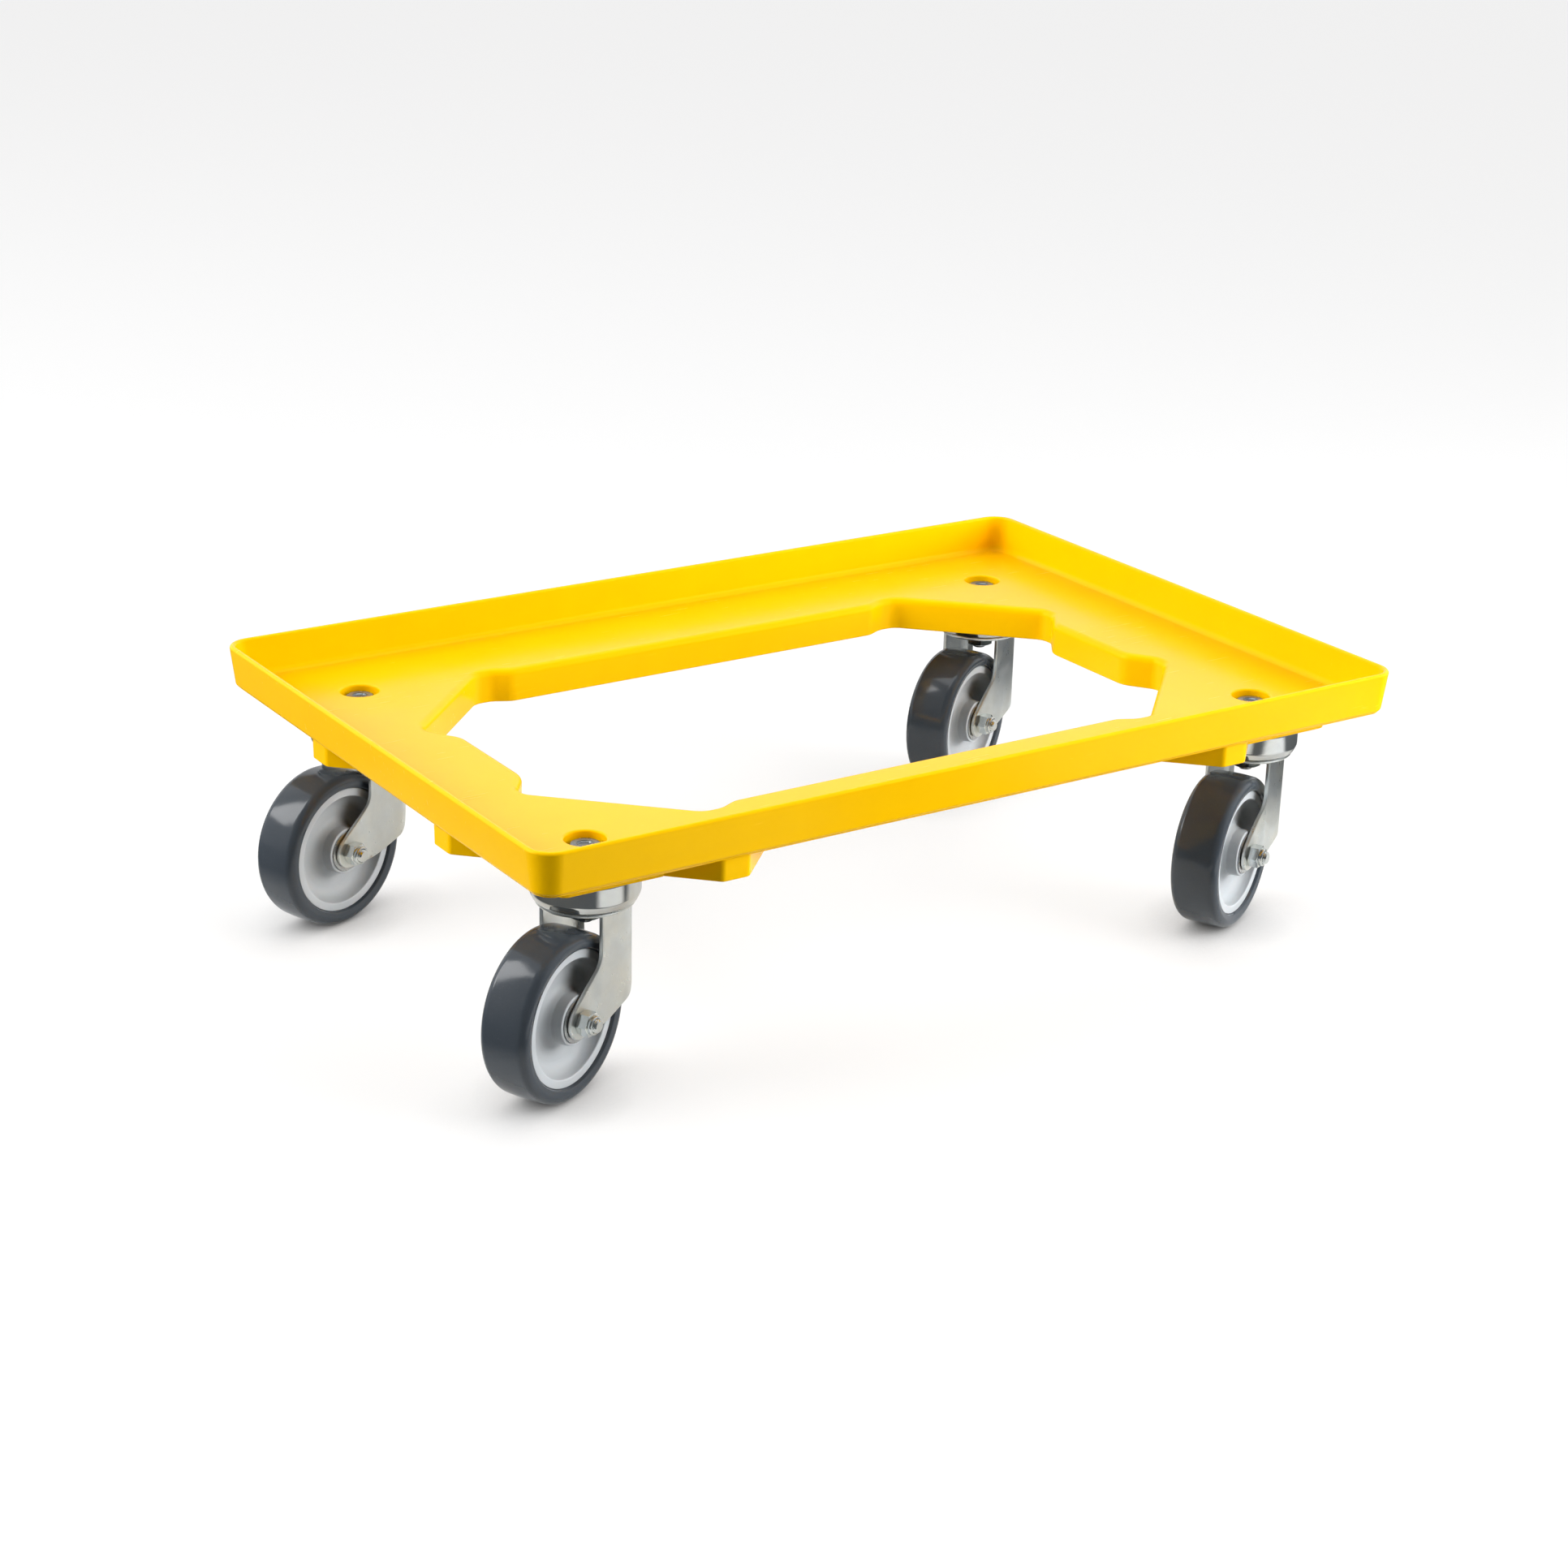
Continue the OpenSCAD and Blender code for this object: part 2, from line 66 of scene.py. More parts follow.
def bend(before, corner, after, radius, steps):
    """The arc that rounds one corner of an outline."""
    corner = Vector(corner)
    to_before = (Vector(before) - corner).normalized()
    to_after = (Vector(after) - corner).normalized()
    half = to_before.angle(to_after) / 2
    if radius <= 0 or half > math.radians(89.5):
        return [tuple(corner)]
    centre = corner + (to_before + to_after).normalized() * radius / math.sin(half)
    first = corner + to_before * radius / math.tan(half) - centre
    last = corner + to_after * radius / math.tan(half) - centre
    start = math.degrees(math.atan2(first.y, first.x))
    sweep = (math.degrees(math.atan2(last.y, last.x)) - start + 540) % 360 - 180
    return arc(centre, radius, start, start + sweep, steps)


def rounded(corners, steps=5, closed=True):
    """An outline from (x, y, radius) corners. The ends of an open one stay as they are."""
    flat = [c[:2] for c in corners]
    points = []
    for i, (x, y, radius) in enumerate(corners):
        if not closed and i in (0, len(corners) - 1):
            points.append((x, y))
        else:
            points += bend(flat[i - 1], (x, y), flat[(i + 1) % len(flat)], radius, steps)
    return points


def normals(points, closed=True):
    """Unit vectors to the right of each point of an outline: outwards, if it runs counter-clockwise."""
    found = []
    count = len(points)
    for i, point in enumerate(points):
        before = points[i - 1] if closed or i > 0 else point
        after = points[(i + 1) % count] if closed or i < count - 1 else point
        here = Vector(point)
        first = (here - Vector(before)).normalized()
        second = (Vector(after) - here).normalized()
        along = (first + second).normalized()
        scale = 1.0
        if first.length > 0 and second.length > 0:
            scale = 1 / max(0.5, math.cos(first.angle(second) / 2))
        found.append(Vector((along.y, -along.x)) * scale)
    return found


def moved(points, sides, distance):
    """An outline moved along its normals."""
    return [(p[0] + n.x * distance, p[1] + n.y * distance) for p, n in zip(points, sides)]


def is_inside(point, outline):
    """Is a point inside a closed outline?"""
    x, y = point
    inside = False
    for (x0, y0), (x1, y1) in zip(outline, outline[1:] + outline[:1]):
        if (y0 > y) != (y1 > y) and x < x0 + (x1 - x0) * (y - y0) / (y1 - y0):
            inside = not inside
    return inside


def smooth_step(low, high, value):
    """0 below low, 1 above high, and a smooth S between them."""
    t = min(max((value - low) / (high - low), 0.0), 1.0)
    return t * t * (3 - 2 * t)


# ------------------------------------------------------------------ shapes

class Shape:
    """The vertices and faces of one piece, in millimetres."""

    def __init__(self):
        self.points = []
        self.faces = []

    def ring(self, points):
        first = len(self.points)
        self.points += [tuple(p) for p in points]
        return list(range(first, len(self.points)))

    def flat_ring(self, outline, z):
        return self.ring([(x, y, z) for x, y in outline])

    def strip(self, low, high, closed=True):
        """Quads between two rings with the same number of points."""
        count = len(low) if closed else len(low) - 1
        for i in range(count):
            j = (i + 1) % len(low)
            self.faces.append((low[i], low[j], high[j], high[i]))

    def loft(self, rings, closed=True, joined=False):
        """Strips through a list of rings, and back to the first if joined."""
        for low, high in zip(rings, rings[1:]):
            self.strip(low, high, closed)
        if joined:
            self.strip(rings[-1], rings[0], closed)

    def fill(self, outer, holes=(), extra=(), plan=lambda p: (p[0], p[1]), lift=None):
        """Triangles between an outer ring and the rings of its holes, through extra points."""
        loops = [outer] + list(holes)
        index = [i for loop in loops for i in loop]
        flat = [plan(self.points[i]) for i in index]
        edges, start = [], 0
        outlines = []
        for loop in loops:
            edges += [(start + i, start + (i + 1) % len(loop)) for i in range(len(loop))]
            outlines.append(flat[start:start + len(loop)])
            start += len(loop)
        if extra:
            index += self.ring([lift(p) for p in extra])
            flat += list(extra)
        made = delaunay_2d_cdt([Vector(p) for p in flat], edges, [], 0, 1e-6)
        corners, triangles, sources = made[0], made[2], made[3]
        for triangle in triangles:
            middle = sum((corners[i] for i in triangle), Vector((0, 0))) / 3
            if not is_inside(middle, outlines[0]) or any(is_inside(middle, h) for h in outlines[1:]):
                continue
            self.faces.append(tuple(index[sources[i][0]] for i in triangle))

    def lathe(self, profile, segments=96, around=Matrix.Identity(4)):
        """A closed (radius, height) profile turned about Z. Points on the axis become poles."""
        rings = []
        for radius, z in profile:
            if radius < 1e-6:
                rings.append(self.ring([around @ Vector((0, 0, z))]))
                continue
            turned = []
            for i in range(segments):
                angle = 2 * math.pi * i / segments
                turned.append(around @ Vector((radius * math.cos(angle), radius * math.sin(angle), z)))
            rings.append(self.ring(turned))
        pairs = list(zip(rings, rings[1:]))
        if len(rings[0]) > 1:
            pairs.append((rings[-1], rings[0]))
        for low, high in pairs:
            if len(low) == 1:
                self.faces += [(low[0], high[(i + 1) % segments], high[i]) for i in range(segments)]
            elif len(high) == 1:
                self.faces += [(low[i], low[(i + 1) % segments], high[0]) for i in range(segments)]
            else:
                self.strip(low, high)

    def sweep(self, path, profile):
        """A wall: a (sideways, height) profile carried along an open path, with both ends capped."""
        sides = normals(path, closed=False)
        rings = []
        for (x, y), side in zip(path, sides):
            rings.append(self.ring([(x + side.x * s, y + side.y * s, z) for s, z in profile]))
        self.loft(rings)
        self.faces.append(tuple(reversed(rings[0])))
        self.faces.append(tuple(rings[-1]))

    def piece(self, name, material, sharp=40):
        """A Blender object of this shape, with smooth faces and edges sharper than an angle kept."""
        mesh = bpy.data.meshes.new(name)
        mesh.from_pydata([Vector(p) * MM for p in self.points], [], self.faces)
        work = bmesh.new()
        work.from_mesh(mesh)
        bmesh.ops.remove_doubles(work, verts=work.verts, dist=1e-7)
        loose = [vertex for vertex in work.verts if not vertex.link_faces]
        bmesh.ops.delete(work, geom=loose, context="VERTS")
        bmesh.ops.recalc_face_normals(work, faces=work.faces)
        for face in work.faces:
            face.smooth = True
        work.to_mesh(mesh)
        work.free()
        mesh.set_sharp_from_angle(angle=math.radians(sharp))
        mesh.materials.append(material)
        made = bpy.data.objects.new(name, mesh)
        bpy.context.scene.collection.objects.link(made)
        weighted = made.modifiers.new("even_flats", "WEIGHTED_NORMAL")
        weighted.keep_sharp = True
        weighted.weight = 80
        return made


def place(made, body, slot, nodes):
    """Ties a piece to its body and hides the nodes that it stands for; its slot is not used."""
    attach(made, body)
    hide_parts(*nodes)


# ------------------------------------------------------------------ materials

class Nodes:
    """A material with a Principled shader and short ways to add nodes to it."""

    def __init__(self, name):
        self.material = bpy.data.materials.new(name)
        self.material.use_nodes = True
        self.tree = self.material.node_tree
        self.shader = self.tree.nodes["Principled BSDF"]
        self.place = self.add("ShaderNodeTexCoord").outputs["Object"]

    def add(self, kind, **values):
        made = self.tree.nodes.new(kind)
        for key, value in values.items():
            setattr(made, key, value)
        return made

    def link(self, output, target):
        self.tree.links.new(output, target)

    def set(self, **values):
        for key, value in values.items():
            self.shader.inputs[key.replace("_", " ")].default_value = value

    def noise(self, scale, detail=3, stretch=None, roughness=0.5):
        """Noise at a scale in features a metre, stretched along the object's axes."""
        source = self.place
        if stretch:
            mapping = self.add("ShaderNodeMapping")
            mapping.inputs["Scale"].default_value = stretch
            self.link(source, mapping.inputs["Vector"])
            source = mapping.outputs["Vector"]
        texture = self.add("ShaderNodeTexNoise")
        texture.inputs["Scale"].default_value = scale
        texture.inputs["Detail"].default_value = detail
        texture.inputs["Roughness"].default_value = roughness
        self.link(source, texture.inputs["Vector"])
        return texture.outputs["Fac"]

    def span(self, value, low, high, to_low=0.0, to_high=1.0):
        """Maps low..high of a value to to_low..to_high."""
        mapped = self.add("ShaderNodeMapRange")
        mapped.clamp = True
        for key, number in zip(("From Min", "From Max", "To Min", "To Max"), (low, high, to_low, to_high)):
            mapped.inputs[key].default_value = number
        self.link(value, mapped.inputs["Value"])
        return mapped.outputs["Result"]

    def mix(self, factor, first, second):
        """A colour between two colours or sockets."""
        mixed = self.add("ShaderNodeMix", data_type="RGBA")
        self.link(factor, mixed.inputs[0])
        for socket, value in ((mixed.inputs[6], first), (mixed.inputs[7], second)):
            if isinstance(value, tuple):
                socket.default_value = (*value, 1)
            else:
                self.link(value, socket)
        return mixed.outputs[2]

    def math(self, operation, first, second):
        made = self.add("ShaderNodeMath", operation=operation)
        for socket, value in zip(made.inputs, (first, second)):
            if isinstance(value, (int, float)):
                socket.default_value = value
            else:
                self.link(value, socket)
        return made.outputs[0]

    def bump(self, *layers):
        """Stacks (height, distance in metres) layers of bump into the shader's normal."""
        normal = None
        for height, distance in layers:
            made = self.add("ShaderNodeBump")
            made.inputs["Strength"].default_value = 1.0
            made.inputs["Distance"].default_value = distance
            self.link(height, made.inputs["Height"])
            if normal is not None:
                self.link(normal, made.inputs["Normal"])
            normal = made.outputs["Normal"]
        self.link(normal, self.shader.inputs["Normal"])

    def shade(self, distance, low, high):
        """A factor for painted shade, which falls from high in the open to low in corners and under what
        stands close by.
        """
        occlusion = self.add("ShaderNodeAmbientOcclusion")
        occlusion.samples = 3
        occlusion.inputs["Distance"].default_value = distance
        return self.span(occlusion.outputs["AO"], 0.0, 1.0, low, high)

    def to(self, socket, output):
        self.link(output, self.shader.inputs[socket])


def yellow_plastic():
    """Glossy moulded ABS, with faint flow marks, a slight orange peel and a few hairline rubs."""
    m = Nodes("yellow_abs")
    flow = m.noise(7, 2, (1, 1, 3))
    cloud = m.noise(38, 4)
    shift = m.span(m.math("ADD", flow, cloud), 0.7, 1.3)
    m.to("Base Color", m.mix(shift, (0.925, 0.510, 0.000), (0.950, 0.535, 0.000)))
    rubs = m.span(m.noise(260, 3, (0.12, 2.6, 1)), 0.66, 0.78)
    dull = m.span(m.noise(24, 5), 0.35, 0.7, 0.20, 0.27)
    m.to("Roughness", m.math("ADD", dull, m.math("MULTIPLY", rubs, 0.10)))
    m.bump((m.noise(150, 2), 0.000045), (m.noise(1500, 3), 0.000006), (rubs, 0.000008))
    m.set(Specular_IOR_Level=0.34)
    m.shader.inputs["Specular Tint"].default_value = (1.0, 0.80, 0.04, 1)
    return m.material


def zinc_plate(name, tint, roughness, mottle):
    """Zinc plate on pressed steel: cloudy tints, soft grain and fine drawn lines."""
    m = Nodes(name)
    cloud = m.span(m.noise(34, 5), 0.35, 0.65)
    patch = m.span(m.noise(95, 4, roughness=0.6), 0.42, 0.62)
    cool = (tint[0] * 0.965, tint[1] * 0.99, tint[2] * 1.01)
    warm = (tint[0] * 1.01, tint[1] * 0.995, tint[2] * (1 - 0.10 * mottle))
    base = m.mix(cloud, cool, warm)
    m.to("Base Color", m.mix(m.math("MULTIPLY", patch, 0.5 * mottle), base, tuple(c * 0.86 for c in tint)))
    grain = m.noise(900, 4, (1, 1, 0.25))
    worn = m.math("ADD", patch, m.math("MULTIPLY", grain, 0.6))
    m.to("Roughness", m.span(worn, 0.2, 1.3, roughness * 0.82, roughness * 1.22))
    m.bump((m.noise(60, 3), 0.00006 * mottle), (grain, 0.000010), (m.noise(4200, 2), 0.000003))
    m.set(Metallic=1.0)
    return m.material


def tyre_rubber():
    """Grey thermoplastic rubber, smooth from the mould, with a dusting of fine specks."""
    m = Nodes("grey_rubber")
    cloud = m.noise(26, 4)
    specks = m.span(m.noise(1300, 2), 0.60, 0.72)
    base = m.mix(m.span(cloud, 0.35, 0.65), (0.037, 0.045, 0.055), (0.043, 0.052, 0.063))
    m.to("Base Color", m.mix(m.math("MULTIPLY", specks, 0.12), base, (0.105, 0.112, 0.118)))
    skin = m.span(m.noise(70, 4), 0.3, 0.7, 0.11, 0.16)
    m.to("Roughness", m.math("ADD", skin, m.math("MULTIPLY", specks, 0.05)))
    m.bump((m.noise(120, 3), 0.00003), (m.noise(2400, 3), 0.000004))
    m.set(Specular_IOR_Level=0.5)
    return m.material


def core_plastic():
    """Light grey moulded polypropylene with a satin skin, and painted shade that darkens it in corners and
    beside nearby parts.
    """
    m = Nodes("grey_polypropylene")
    flow = m.noise(30, 3, (1, 1, 2))
    skin = m.mix(m.span(flow, 0.35, 0.65), (0.440, 0.468, 0.492), (0.475, 0.500, 0.522))
    # Painted shade: the colour darkens to dark grey in the dish's corners and beside the fork's legs, from
    # occlusion.
    m.to("Base Color", m.mix(m.shade(0.03, 0.0, 1.0), (0.20, 0.205, 0.205), skin))
    m.to("Roughness", m.span(m.noise(90, 4), 0.3, 0.7, 0.30, 0.42))
    m.bump((m.noise(260, 3), 0.00002), (m.noise(2600, 2), 0.000005))
    m.set(Specular_IOR_Level=0.45, Subsurface_Weight=0.04, Subsurface_Scale=0.003)
    return m.material


def nylon():
    """Natural nylon of the roller cages."""
    m = Nodes("natural_nylon")
    m.to("Base Color", m.mix(m.span(m.noise(120, 3), 0.35, 0.65), (0.72, 0.69, 0.58), (0.80, 0.77, 0.67)))
    m.to("Roughness", m.span(m.noise(300, 3), 0.3, 0.7, 0.38, 0.52))
    m.bump((m.noise(900, 3), 0.00001))
    return m.material


YELLOW = yellow_plastic()
FORK_ZINC = zinc_plate("fork_zinc", (0.79, 0.81, 0.79), 0.33, 0.6)
CUP_ZINC = zinc_plate("cup_zinc", (0.66, 0.66, 0.64), 0.10, 0.8)
DARK_ZINC = zinc_plate("dark_zinc", (0.24, 0.26, 0.28), 0.26, 1.0)
BOLT_ZINC = zinc_plate("bolt_zinc", (0.74, 0.77, 0.76), 0.17, 0.4)
STEEL = zinc_plate("turned_steel", (0.56, 0.57, 0.58), 0.30, 0.5)
BALL_STEEL = zinc_plate("ground_steel", (0.72, 0.73, 0.74), 0.09, 0.1)
TYRE = tyre_rubber()
CORE = core_plastic()
NYLON = nylon()


# ------------------------------------------------------------------ deck

DECK_TOP = 145.4
DECK_UNDER = 142.2
SEAT = 128.0
RIM_TOP = 170.0
RIM_CENTRE_X, RIM_CENTRE_Y = 294, 194
SWIVEL_X, SWIVEL_Y = 245.4, 144.8
RECESS_FLOOR = 133.8
OPENING_QUARTER = [
    (227, 38, 17), (240, 56, 9), (240, 65.5, 10), (165.5, 140, 12), (154, 140, 15), (142, 134, 15),
]


def deck_outline(reach):
    """The deck's outline at a distance from the centres of its rim's corners."""
    points = []
    for side_x, side_y, start in ((1, 1, 0), (-1, 1, 90), (-1, -1, 180), (1, -1, 270)):
        points += arc((side_x * RIM_CENTRE_X, side_y * RIM_CENTRE_Y), reach, start, start + 90, 12)
    return points


def rim_profile():
    """The rim from the deck's underside, round the outside and over the bead, to the deck's top."""
    skirt = arc((10.9, 145.6), 2.4, -78, 0, 6)
    bead = arc((14.1, RIM_TOP - 1.9), 1.9, 0, 180, 10)
    inner = rounded([(12.2, 168.1, 0), (9.95, DECK_TOP, 4.2), (4.5, DECK_TOP, 0)], 9, closed=False)
    return [(9.0, DECK_UNDER), (11.0, DECK_UNDER), (11.4, DECK_UNDER + 0.4)] + skirt + bead + inner[1:]


def opening_outline():
    """The outline of the deck's opening, from its quarter mirrored four times."""
    first = OPENING_QUARTER
    second = [(-x, y, r) for x, y, r in reversed(first)]
    third = [(-x, -y, r) for x, y, r in first]
    fourth = [(x, -y, r) for x, y, r in reversed(first)]
    return rounded(first + second + third + fourth, 7)


def lip_profile():
    """The lip from the deck's top, over the soft edge, down, round and up to the underside."""
    edge = arc((4.8, DECK_TOP - 4.8), 4.8, 90, 180, 9)
    foot = rounded([(0.25, 130, 0), (0.35, 123.2, 1.0), (2.75, 123.2, 0.9), (3.2, 140.6, 0)], 4, closed=False)
    root = arc((4.6, 140.8), 1.4, 180, 90, 4)
    return edge + foot[1:-1] + root


WALL_PROFILE = rounded([(-1.5, 142.8, 0), (-1.3, SEAT, 0.7), (1.3, SEAT, 0.7), (1.5, 142.8, 0)], 4)


def seat_shape(shape, x, y):
    """The boss, the recess for the bolt head and the square of ribs under one corner."""
    def circle(radius, z):
        return shape.flat_ring(arc((x, y), radius, 0, 360 * 63 / 64, 63), z)

    top = circle(13.4, DECK_TOP)
    edge = [circle(r, z) for r, z in arc((13.4, DECK_TOP - 1.35), 1.35, 108, 180, 4)]
    floor = [(12.0, 134.6), (11.8, 134.0), (11.2, RECESS_FLOOR), (5.8, RECESS_FLOOR)]
    hole = [(5.5, 133.5), (5.5, SEAT)]
    boss = [(16.2, SEAT), (16.7, 128.2), (16.9, 128.7), (17.1, 141.0), (17.5, 141.9)]
    under = circle(18.2, DECK_UNDER)
    shape.loft([top] + edge + [circle(r, z) for r, z in floor + hole + boss] + [under])

    half = 33.5
    corners = [(half, -half, 4.5), (half, half, 4.5), (-half, half, 4.5), (-half, -half, 4.5)]
    square = [(px + x, py + y) for px, py in rounded(corners, 6)]
    sides = normals(square)
    shape.loft([shape.flat_ring(moved(square, sides, s), z) for s, z in WALL_PROFILE], joined=True)
    for dx, dy in ((1, 0), (0, 1), (-1, 0), (0, -1)):
        shape.sweep([(x + 16.2 * dx, y + 16.2 * dy), (x + half * dx, y + half * dy)], WALL_PROFILE)
    return top, under


def deck_piece():
    """The whole deck: rim, plate, lip round the opening, four seats and the walls under the plate."""
    shape = Shape()
    rim = [shape.flat_ring(deck_outline(reach), z) for reach, z in rim_profile()]
    shape.loft(rim)
    opening = opening_outline()
    sides = normals(opening)
    lip = [shape.flat_ring(moved(opening, sides, d), z) for d, z in lip_profile()]
    shape.loft(lip)
    seats = [seat_shape(shape, sx * SWIVEL_X, sy * SWIVEL_Y) for sx, sy in SIDES.values()]
    shape.fill(rim[-1], [lip[0]] + [top for top, under in seats])
    shape.fill(rim[0], [lip[-1]] + [under for top, under in seats])

    walls = [
        [(107.6, 135.6, 0), (173.9, 201.9, 3.5), (190.0, 201.9, 3.5), (234.7, 157.2, 0)],
        [(257.8, 134.1, 0), (301.6, 90.3, 3.5), (301.6, 72.6, 3.5), (228.9, 0.3, 0)],
    ]
    for side_x, side_y in SIDES.values():
        for wall in walls:
            shape.sweep([(side_x * x, side_y * y) for x, y in rounded(wall, 6, closed=False)], WALL_PROFILE)
    ledge = [(s, z + 7 if z < 140 else z) for s, z in WALL_PROFILE]
    for side in (-1, 1):
        for x in (-70, 0, 70):
            shape.sweep([(x, side * 135.6), (x, side * 183)], ledge)
        shape.sweep([(side * 228.6, 0), (side * 283, 0)], ledge)
    return shape.piece("deck_shell", YELLOW)


# ------------------------------------------------------------------ fasteners

M10_ACROSS_FLATS = 17
M8_ACROSS_FLATS = 13


def hexagon(shape, across, low, high, bore, chamfer_low=True, around=Matrix.Identity(4)):
    """A nut or bolt head along Z, with its corners turned down at one end or both."""
    segments = 72
    face = across / 2 * 0.96

    def ring(radius_at, z_at):
        points = []
        for i in range(segments):
            angle = 360 * i / segments
            corner = across / 2 / math.cos(math.radians(30 - angle % 60))
            radius = radius_at(corner)
            turn = math.radians(angle)
            points.append(around @ Vector((radius * math.cos(turn), radius * math.sin(turn), z_at(corner))))
        return shape.ring(points)

    slope = math.tan(math.radians(27))
    rings = [ring(lambda c: bore, lambda c: low)]
    if chamfer_low:
        rings.append(ring(lambda c: face, lambda c: low))
        rings.append(ring(lambda c: c, lambda c: low + (c - face) * slope))
    else:
        rings.append(ring(lambda c: c, lambda c: low))
    rings.append(ring(lambda c: c, lambda c: high - (c - face) * slope))
    rings.append(ring(lambda c: face, lambda c: high))
    rings.append(ring(lambda c: bore, lambda c: high))
    shape.loft(rings, joined=True)


def thread(shape, radius, pitch, low, high, around=Matrix.Identity(4)):
    """A closed length of screw thread along Z, chamfered at its high end."""
    segments, depth = 48, 0.58 * pitch
    steps = int((high - low) / pitch * 8)
    rings = [shape.ring([around @ Vector((0, 0, low))])]
    for k in range(steps + 1):
        z = low + (high - low) * k / steps
        points = []
        for i in range(segments):
            phase = (z / pitch - i / segments) % 1.0
            groove = max(0.0, 1 - abs(phase - 0.5) / 0.42)
            r = min(radius - depth * groove, radius - depth * 1.1 + max(0.0, high - z))
            turn = 2 * math.pi * i / segments
            points.append(around @ Vector((r * math.cos(turn), r * math.sin(turn), z)))
        rings.append(shape.ring(points))
    rings.append(shape.ring([around @ Vector((0, 0, high))]))
    first, last = rings[0][0], rings[-1][0]
    shape.faces += [(first, rings[1][(i + 1) % segments], rings[1][i]) for i in range(segments)]
    shape.loft(rings[1:-1])
    shape.faces += [(rings[-2][i], rings[-2][(i + 1) % segments], last) for i in range(segments)]


def at_seats():
    """A matrix in millimetres for each swivel axis."""
    return [Matrix.Translation((sx * SWIVEL_X, sy * SWIVEL_Y, 0)) for sx, sy in SIDES.values()]


def mounting_bolts():
    """The four bolts through the kingpins, with their heads in the deck's recesses."""
    shape = Shape()
    for around in at_seats():
        hexagon(shape, M10_ACROSS_FLATS, 135.8, 142.2, 4.9, False, around)
        shape.lathe([(0, 134), (4.9, 134), (4.9, 141.9), (4.0, 141.2), (0, 141.1)], 48, around)
        down = around @ Matrix.Rotation(math.pi, 4, "X")
        thread(shape, 5, 1.5, -135.0, -95.8, down)
    return shape.piece("mount_bolt_set", DARK_ZINC, 25)


def mounting_washers():
    shape = Shape()
    section = rounded([(5.3, 133.8, 0.2), (10.5, 133.8, 0.2), (10.5, 135.8, 0.5), (5.3, 135.8, 0.2)], 3)
    for around in at_seats():
        shape.lathe(section, 72, around)
    return shape.piece("mount_washer_set", DARK_ZINC, 35)


def mounting_nuts():
    shape = Shape()
    for around in at_seats():
        hexagon(shape, M10_ACROSS_FLATS, 98.3, 107.8, 5.1, True, around)
    return shape.piece("mount_nut_set", BOLT_ZINC, 25)


# ------------------------------------------------------------------ castor

TRAIL, WHEEL_RADIUS = 32.0, 50.0
LEG_FACE, EYE_FACE, SHEET = 21.8, 20.2, 2.5


def cup_shape():
    """The pressed cup that covers the swivel bearing, turned in at its lower edge."""
    shape = Shape()
    shape.lathe(rounded([
        (8.05, 125.5, 0.2), (29.7, 125.5, 1.6), (29.7, 114.8, 2.0), (28.8, 111.4, 0.5),
        (29.9, 111.4, 0.7), (31.7, 115.4, 4.6), (31.7, 128.0, 1.9), (10.6, 128.0, 0.3),
        (10.6, 126.4, 0.1), (8.05, 126.4, 0.1),
    ], 6), 144)
    return shape


def kingpin_shape():
    """The hollow pin that holds the bearing together, with its two riveted heads."""
    shape = Shape()
    shape.lathe(rounded([
        (5.25, 107.8, 0.3), (11.0, 107.8, 0.9), (11.0, 109.4, 0.2), (8.0, 109.4, 0.3),
        (8.0, 126.4, 0.2), (10.5, 126.4, 0.1), (10.5, 128.0, 0.2), (5.25, 128.0, 0.2),
    ], 4), 72)
    return shape


def retainer_shape():
    """The ring under the lower row of balls."""
    shape = Shape()
    section = [(8.05, 109.4, 0.2), (17.0, 109.4, 0.7), (17.0, 111.8, 0.7), (8.05, 111.8, 0.2)]
    shape.lathe(rounded(section, 4), 96)
    return shape


def leg_face(along, height):
    """Distance of a leg's outer face from the wheel's middle, at a place in the leg's side view."""
    if along < -8.6:
        return LEG_FACE - 19.4 + math.sqrt(19.4 ** 2 - (along + 8.6) ** 2)
    crease = 15.2 - 0.06 * (height - 60)
    return LEG_FACE - (LEG_FACE - EYE_FACE) * smooth_step(crease, crease + 10, along)


def leg_point(along, height, depth, side):
    """A point of a leg, at a depth below its outer face."""
    step = 0.05
    face = leg_face(along, height)
    lean = (leg_face(along + step, height) - leg_face(along - step, height)) / (2 * step)
    across = Vector((-lean, 1)).normalized()
    return (along - across.x * depth, side * (face - across.y * depth), height)


LEG_CORNERS = [
    (-22, 109.9, 0), (-22, 60, 14), (-16.5, 50.2, 14), (10, 42.0, 60), (42.8, 38.4, 10.2),
    (42.8, 55.4, 10.8), (23.5, 70.2, 16), (14.5, 80.5, 18), (14.5, 109.9, 0),
]


